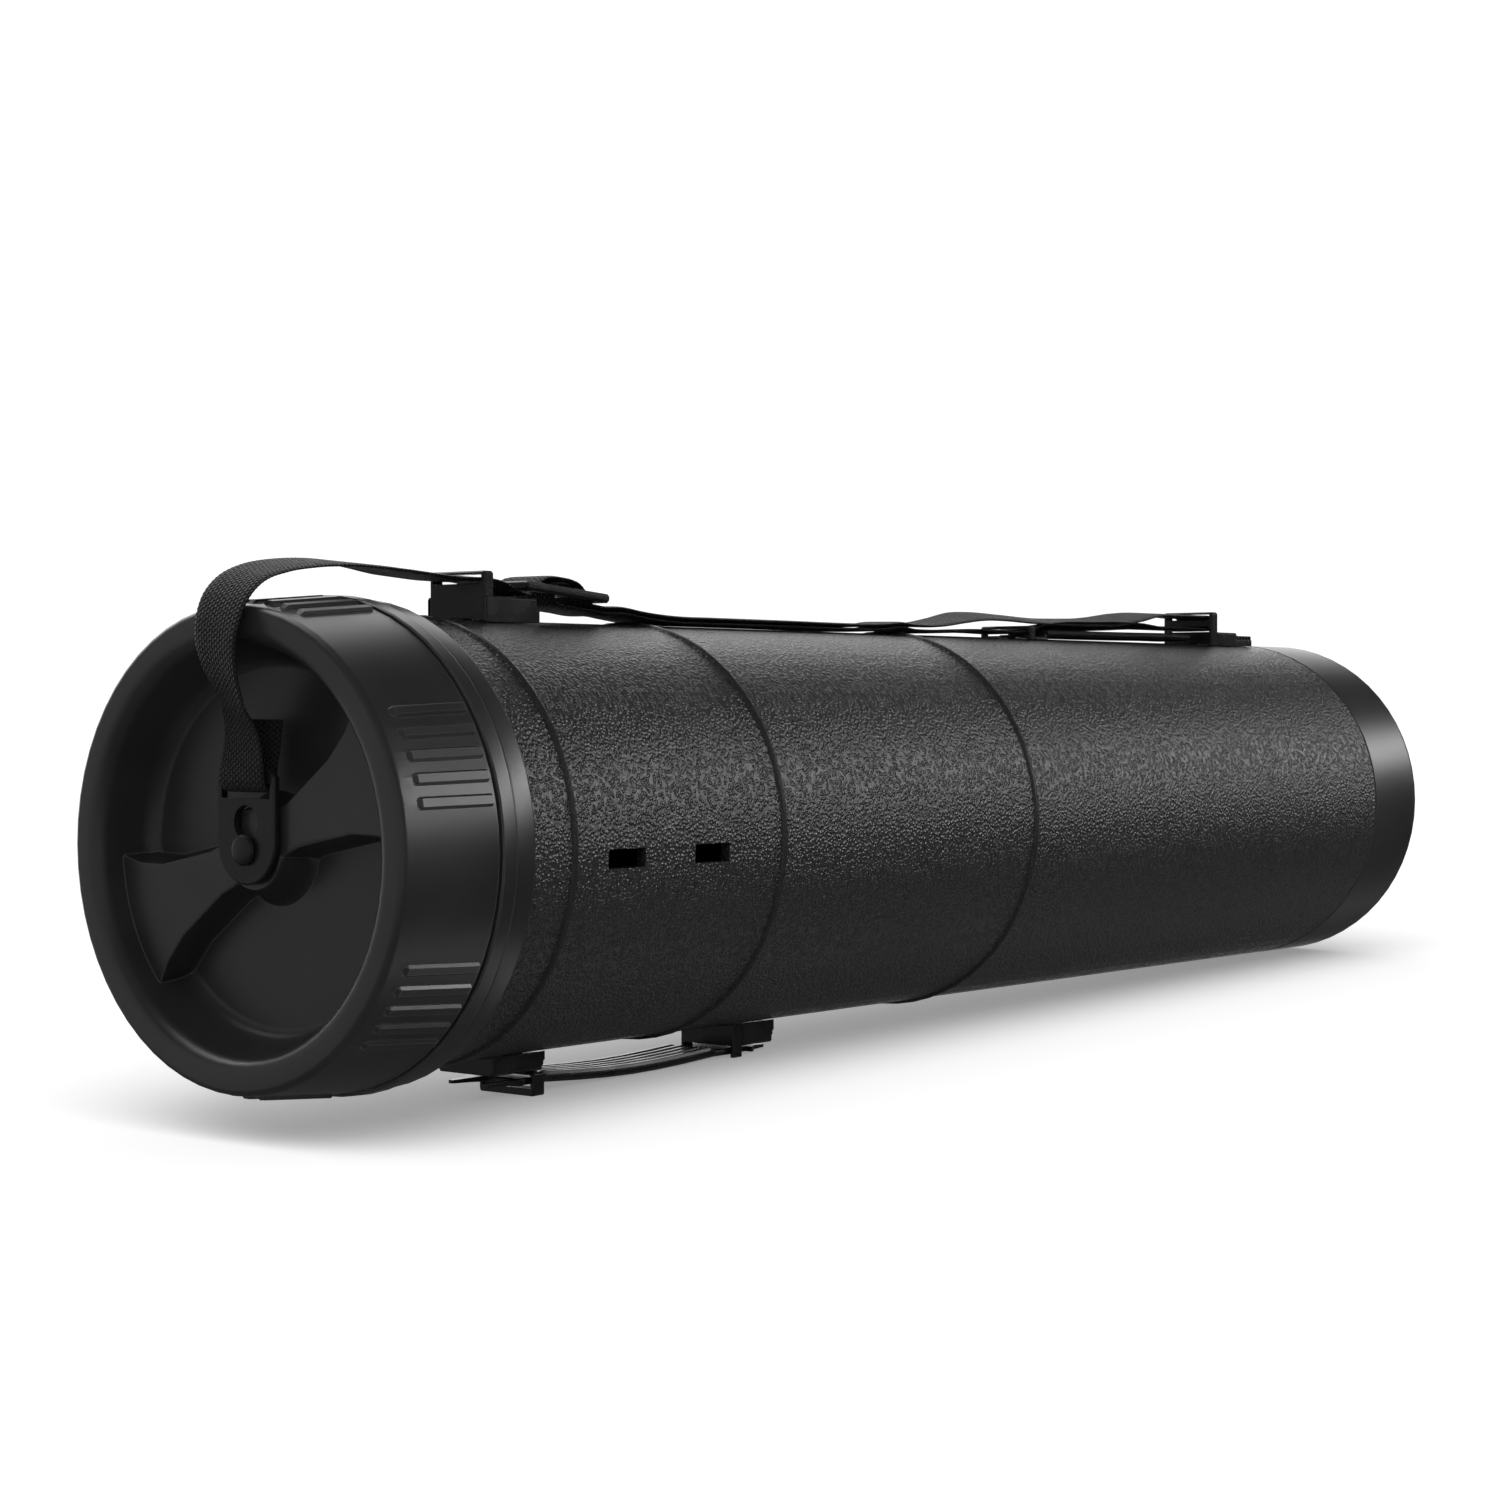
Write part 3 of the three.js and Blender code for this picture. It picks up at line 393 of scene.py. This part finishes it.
def strap_length(name, stops, thickness=STRAP_T):
    """One length of webbing as a ribbon with raised cross-ribs, soft selvedges and UVs in metres."""
    sections = even_sections(stops, WEFT / RIB_STEPS)
    verts, uvs = [], []
    last = len(sections) - 1
    for i, (middle, roll, run) in enumerate(sections):
        ahead = (sections[min(i + 1, last)][0] - sections[max(i - 1, 0)][0]).normalized()
        out = Vector((-ahead.z, 0, ahead.x))
        across = Vector((0, math.cos(roll), 0)) + out * math.sin(roll)
        normal = Vector((0, -math.sin(roll), 0)) + out * math.cos(roll)
        rib = 0.5 - 0.5 * math.cos(2 * math.pi * run / WEFT)
        for face in (1, -1):
            for share in ACROSS if face > 0 else ACROSS[::-1]:
                body = (1 - abs(share) ** 8) ** 0.5
                thick = thickness / 2 * body * (0.86 + 0.12 * rib)
                wide = share * (STRAP_W / 2 - SELVEDGE * (1 - rib))
                verts.append(middle + across * wide + normal * (face * thick))
                uvs.append((run, wide + STRAP_W / 2))
    ring = 2 * len(ACROSS)
    faces = []
    for i in range(last):
        for j in range(ring):
            k = (j + 1) % ring
            faces.append((i * ring + j, i * ring + k, (i + 1) * ring + k, (i + 1) * ring + j))
    faces.append(tuple(range(ring))[::-1])
    faces.append(tuple(last * ring + j for j in range(ring)))
    mesh = bpy.data.meshes.new(name)
    mesh.from_pydata(verts, [], faces)
    layer = mesh.uv_layers.new(name="strap")
    for loop in mesh.loops:
        layer.data[loop.index].uv = uvs[loop.vertex_index]
    for face in mesh.polygons:
        face.use_smooth = True
    mesh.validate()
    mesh.materials.append(FINISHES["webbing"])
    piece = bpy.data.objects.new(name, mesh)
    bpy.context.scene.collection.objects.link(piece)
    return piece


SLIDER_MIDDLE = (133.5, 79.65)     # station and height, in millimetres
SLIDER_SLOPE = math.radians(-4.7)
LAID = 210                         # station from which both layers lie on the tube
GAP = 0.3
ON_TUBE = 71.0                     # middle of a layer that lies on the tube
LAYER = 1.7                        # one layer of webbing and its gap
OVER_BEAD = 1.3


def on_slider(u, v):
    """Stop given along the slider (u) and out of it (v), in millimetres."""
    station, height = SLIDER_MIDDLE
    return (
        station + u * math.cos(SLIDER_SLOPE) - v * math.sin(SLIDER_SLOPE),
        height + u * math.sin(SLIDER_SLOPE) + v * math.cos(SLIDER_SLOPE),
    )


HIGH = ON_TUBE + LAYER

# Each length of webbing by its CAD node: stops of (station, height, roll in degrees) in millimetres.
STRAP_STOPS = {
    "strap_front": [
        (11.4, 38.5, -4), (10.6, 30, -2), (9.8, 24), (9.55, 20), (8.9, 18.3), (7.3, 17.6),
        (5.7, 18.3), (5.0, 20), (4.85, 24, -2), (5.1, 30, -8), (4.4, 36, -14), (1.0, 43.5, -22),
        (-3.0, 51.5, -14), (-5.1, 60, -6), (-4.2, 68), (-0.8, 75.0, 4), (5.2, 80.2, 6), (14, 83.4, 8),
        (25, 85.2, 8), (38, 86.0, 7), (52, 85.4, 4), (66, 84.1), (84, 82.9),
    ],
    "strap_to_slider": [
        (84.3, 82.9), (95, 82.75), (101, 82.7), (107, 81.7), (112, 79.6), on_slider(-17.6, -2.6),
    ],
    "strap_in_slider": [
        on_slider(u, v) for u, v in (
            (-17.3, -2.6), (-15.2, -2.5), (-13.2, -0.7), (-11, 1.6), (-8, 3.6), (-4, 4.4), (0, 4.5),
            (4, 4.4), (8, 3.6), (11, 1.6), (13.2, -0.7), (15.2, -2.5), (17.3, -2.6),
        )
    ],
    "strap_from_slider": [
        on_slider(17.6, -2.6), on_slider(22, -2.7), (164, 75.2),
        (174.4, HIGH + OVER_BEAD), (184, HIGH + 0.5), (196, HIGH), (LAID, HIGH),
    ],
    "strap_end_link": [
        on_slider(6.6, -4.5), on_slider(14, -4.45), on_slider(22, -4.6), (164, 73.4),
        (174.4, ON_TUBE + OVER_BEAD), (184, ON_TUBE + 0.4), (196, ON_TUBE), (LAID, ON_TUBE),
    ],
    "strap_end_loop": [
        on_slider(u, v) for u, v in (
            (6.3, -4.5), (1, -4.4), (-2.4, -3.8), (-3.9, -1.8), (-3.8, 0.6), (-2.7, 2.4), (0, 2.8),
            (2.7, 2.4), (3.8, 0.6), (3.7, -1.6),
        )
    ],
    "strap_back": [
        (LAID + GAP, HIGH), (250, HIGH), (300, HIGH), (316, HIGH + 0.6), (323.8, HIGH + OVER_BEAD, 1),
        (334, HIGH + 0.9, 2), (350, 74.0, 3), (366, 76.0, 5), (380, 77.9, 9), (394, 78.3, 10),
        (416, 77.7, 10), (438, 77.2, 8), (460, 77.4, 9), (477, 77.9, 10), (500, 80.4, 9),
        (514, 82.0, 4), (530, 82.1, 2), (546, 81.9), (559.4, 81.7), (561.4, 80.8), (562.1, 79.1),
        (561.4, 77.4), (559.4, 76.5), (546, 76.45), (530, 76.45), (514, 76.4), (500, 76.5, 6),
        (477, 76.2, 10), (460, 75.8, 9), (438, 75.5, 8), (422, 74.4, 5), (409, 72.3), (390, 72.25),
        (374, 72.2), (360, 71.6), (334, ON_TUBE + 0.4), (323.8, ON_TUBE + OVER_BEAD),
        (314, ON_TUBE + 0.4), (300, ON_TUBE), (250, ON_TUBE), (LAID + GAP, ON_TUBE),
    ],
    "strap_tail": [(425, 71.9), (440, 72.0), (470, 72.1), (500, 72.3), (520, 72.5), (539, 72.5)],
}


def make_strap():
    """Lays every length of webbing over its CAD node, hides the node, and hangs the lengths in the
    slider and along the tube on those bodies.
    """
    pieces = {}
    for node, stops in STRAP_STOPS.items():
        thickness = FOLDED_T if node == "strap_tail" else STRAP_T
        piece = strap_length(node + "_webbing", stops, thickness)
        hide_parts(node)
        pieces[node] = piece
    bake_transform(pieces["strap_front"])
    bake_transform(pieces["strap_to_slider"])
    for node in ("strap_from_slider", "strap_end_link"):
        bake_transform(pieces[node])
    for node in ("strap_in_slider", "strap_end_loop"):
        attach(pieces[node], "slider")
    for node in ("strap_back", "strap_tail"):
        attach(pieces[node], "tube")


make_strap()


# ---------------------------------------------------------------- floor, backdrop and light
def lowest(node):
    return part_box(node)[0].z


FLOOR_HALF = 14.0              # metres
FLOOR_GLOW = 0.26              # keeps the floor white to the camera
END_ROUND = 6 * MM             # rounded edge of the end cap


def make_floor():
    """White floor set on the front handle bracket and the end cap; it hides the rear bracket's foot."""
    front = Vector((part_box("handle_bracket_front")[0].x, 0, lowest("handle_bracket_front")))
    rear = Vector((FAR_END - END_ROUND, 0, lowest("end_cap")))
    slope = math.atan2(rear.z - front.z, rear.x - front.x)
    half = FLOOR_HALF
    mesh = bpy.data.meshes.new("floor")
    corners = [(-half, -half, 0), (half, -half, 0), (half, half, 0), (-half, half, 0)]
    mesh.from_pydata(corners, [], [(0, 1, 2, 3)])
    floor = bpy.data.objects.new("floor", mesh)
    bpy.context.scene.collection.objects.link(floor)
    floor.location = front
    floor.rotation_euler = (0, -slope, 0)
    s = Shader("floor_white", (0.93, 0.93, 0.93), 0.9, Specular_IOR_Level=0.0)
    s.surface.inputs["Emission Color"].default_value = (1, 1, 1, 1)
    s.surface.inputs["Emission Strength"].default_value = FLOOR_GLOW
    speckle = s.noise(s.place(), 40, 3).outputs["Fac"]
    mesh.materials.append(s.finish(s.mixed(speckle, (0.925, 0.925, 0.925), (0.935, 0.935, 0.935))))
    floor.visible_glossy = False


make_floor()


class Sky:
    """World nodes that work out the studio's brightness from the direction looked in."""

    def __init__(self, tree):
        self.tree = tree
        split = tree.nodes.new("ShaderNodeSeparateXYZ")
        coordinates = tree.nodes.new("ShaderNodeTexCoord")
        tree.links.new(coordinates.outputs["Generated"], split.inputs[0])
        self.x, self.y, self.z = split.outputs

    def ramp(self, value, low, high):
        """0 below low, 1 above high, or the other way round when low is the greater."""
        made = self.tree.nodes.new("ShaderNodeMapRange")
        made.interpolation_type = "SMOOTHSTEP"
        self.tree.links.new(value, made.inputs["Value"])
        made.inputs["From Min"].default_value = min(low, high)
        made.inputs["From Max"].default_value = max(low, high)
        made.inputs["To Min"].default_value = 0 if low < high else 1
        made.inputs["To Max"].default_value = 1 if low < high else 0
        return made.outputs[0]

    def combine(self, operation, *values):
        total = values[0]
        for value in values[1:]:
            made = self.tree.nodes.new("ShaderNodeMath")
            made.operation = operation
            for socket, part in zip(made.inputs, (total, value)):
                if isinstance(part, bpy.types.NodeSocket):
                    self.tree.links.new(part, socket)
                else:
                    socket.default_value = part
            total = made.outputs[0]
        return total

    def panel(self, strength, *ramps):
        return self.combine("MULTIPLY", strength, *[self.ramp(*ramp) for ramp in ramps])


STUDIO_DARK = 0.075            # between the panels, in reflections
FILL = 0.5                     # even light on matt surfaces
BACKDROP = 1.1                 # behind the floor, seen by the camera only


def make_world():
    """White backdrop for the eye, an even fill, and a dark studio with soft panels for reflections."""
    world = bpy.data.worlds.new("studio")
    bpy.context.scene.world = world
    world.use_nodes = True
    world.cycles.sampling_method = "NONE"
    nodes, links = world.node_tree.nodes, world.node_tree.links
    sky = Sky(world.node_tree)
    x, y, z = sky.x, sky.y, sky.z
    panels = sky.combine(
        "ADD",
        STUDIO_DARK,
        # key panel at the front, a broad one behind, one low down, one for the lid and one overhead
        sky.panel(10.0, (z, 0.14, 0.30), (z, 0.42, 0.37), (y, -0.25, -0.40), (x, 0.3, 0.55)),
        sky.panel(2.0, (y, 0.10, 0.5), (z, -0.3, -0.05), (z, 0.85, 0.68), (x, -0.3, 0.0)),
        sky.panel(0.9, (z, -0.50, -0.57), (z, -0.68, -0.62), (y, 0.05, -0.15), (x, 0.2, 0.5)),
        sky.panel(0.33, (x, -0.1, -0.5), (z, -0.45, -0.1), (z, 0.6, 0.3)),
        sky.panel(2.6, (z, 0.5, 0.66), (x, -0.45, -0.2), (x, 0.45, 0.25), (y, 0.15, 0.4)),
    )
    glossy = nodes.new("ShaderNodeBackground")
    links.new(panels, glossy.inputs["Strength"])
    room = nodes.new("ShaderNodeBackground")
    room.inputs["Strength"].default_value = FILL
    backdrop = nodes["Background"]
    backdrop.inputs["Strength"].default_value = BACKDROP
    path = nodes.new("ShaderNodeLightPath")
    for shader in (glossy, room, backdrop):
        shader.inputs["Color"].default_value = (1, 1, 1, 1)
    not_glossy = nodes.new("ShaderNodeMixShader")
    links.new(path.outputs["Is Glossy Ray"], not_glossy.inputs["Fac"])
    links.new(room.outputs[0], not_glossy.inputs[1])
    links.new(glossy.outputs[0], not_glossy.inputs[2])
    mix = nodes.new("ShaderNodeMixShader")
    links.new(path.outputs["Is Camera Ray"], mix.inputs["Fac"])
    links.new(not_glossy.outputs[0], mix.inputs[1])
    links.new(backdrop.outputs[0], mix.inputs[2])
    links.new(mix.outputs[0], nodes["World Output"].inputs["Surface"])


make_world()


def make_overhead_light():
    """Broad overhead light for the floor and the shadows; the panels make the reflections."""
    sun = bpy.data.lights.new("overhead", "SUN")
    sun.energy = 1.75
    sun.angle = math.radians(60)
    overhead = bpy.data.objects.new("overhead", sun)
    bpy.context.scene.collection.objects.link(overhead)
    overhead.rotation_euler = Vector((0.7, 0.5, -1)).to_track_quat("-Z", "Y").to_euler()
    overhead.visible_glossy = False


make_overhead_light()

bpy.context.scene.view_settings.view_transform = "Standard"
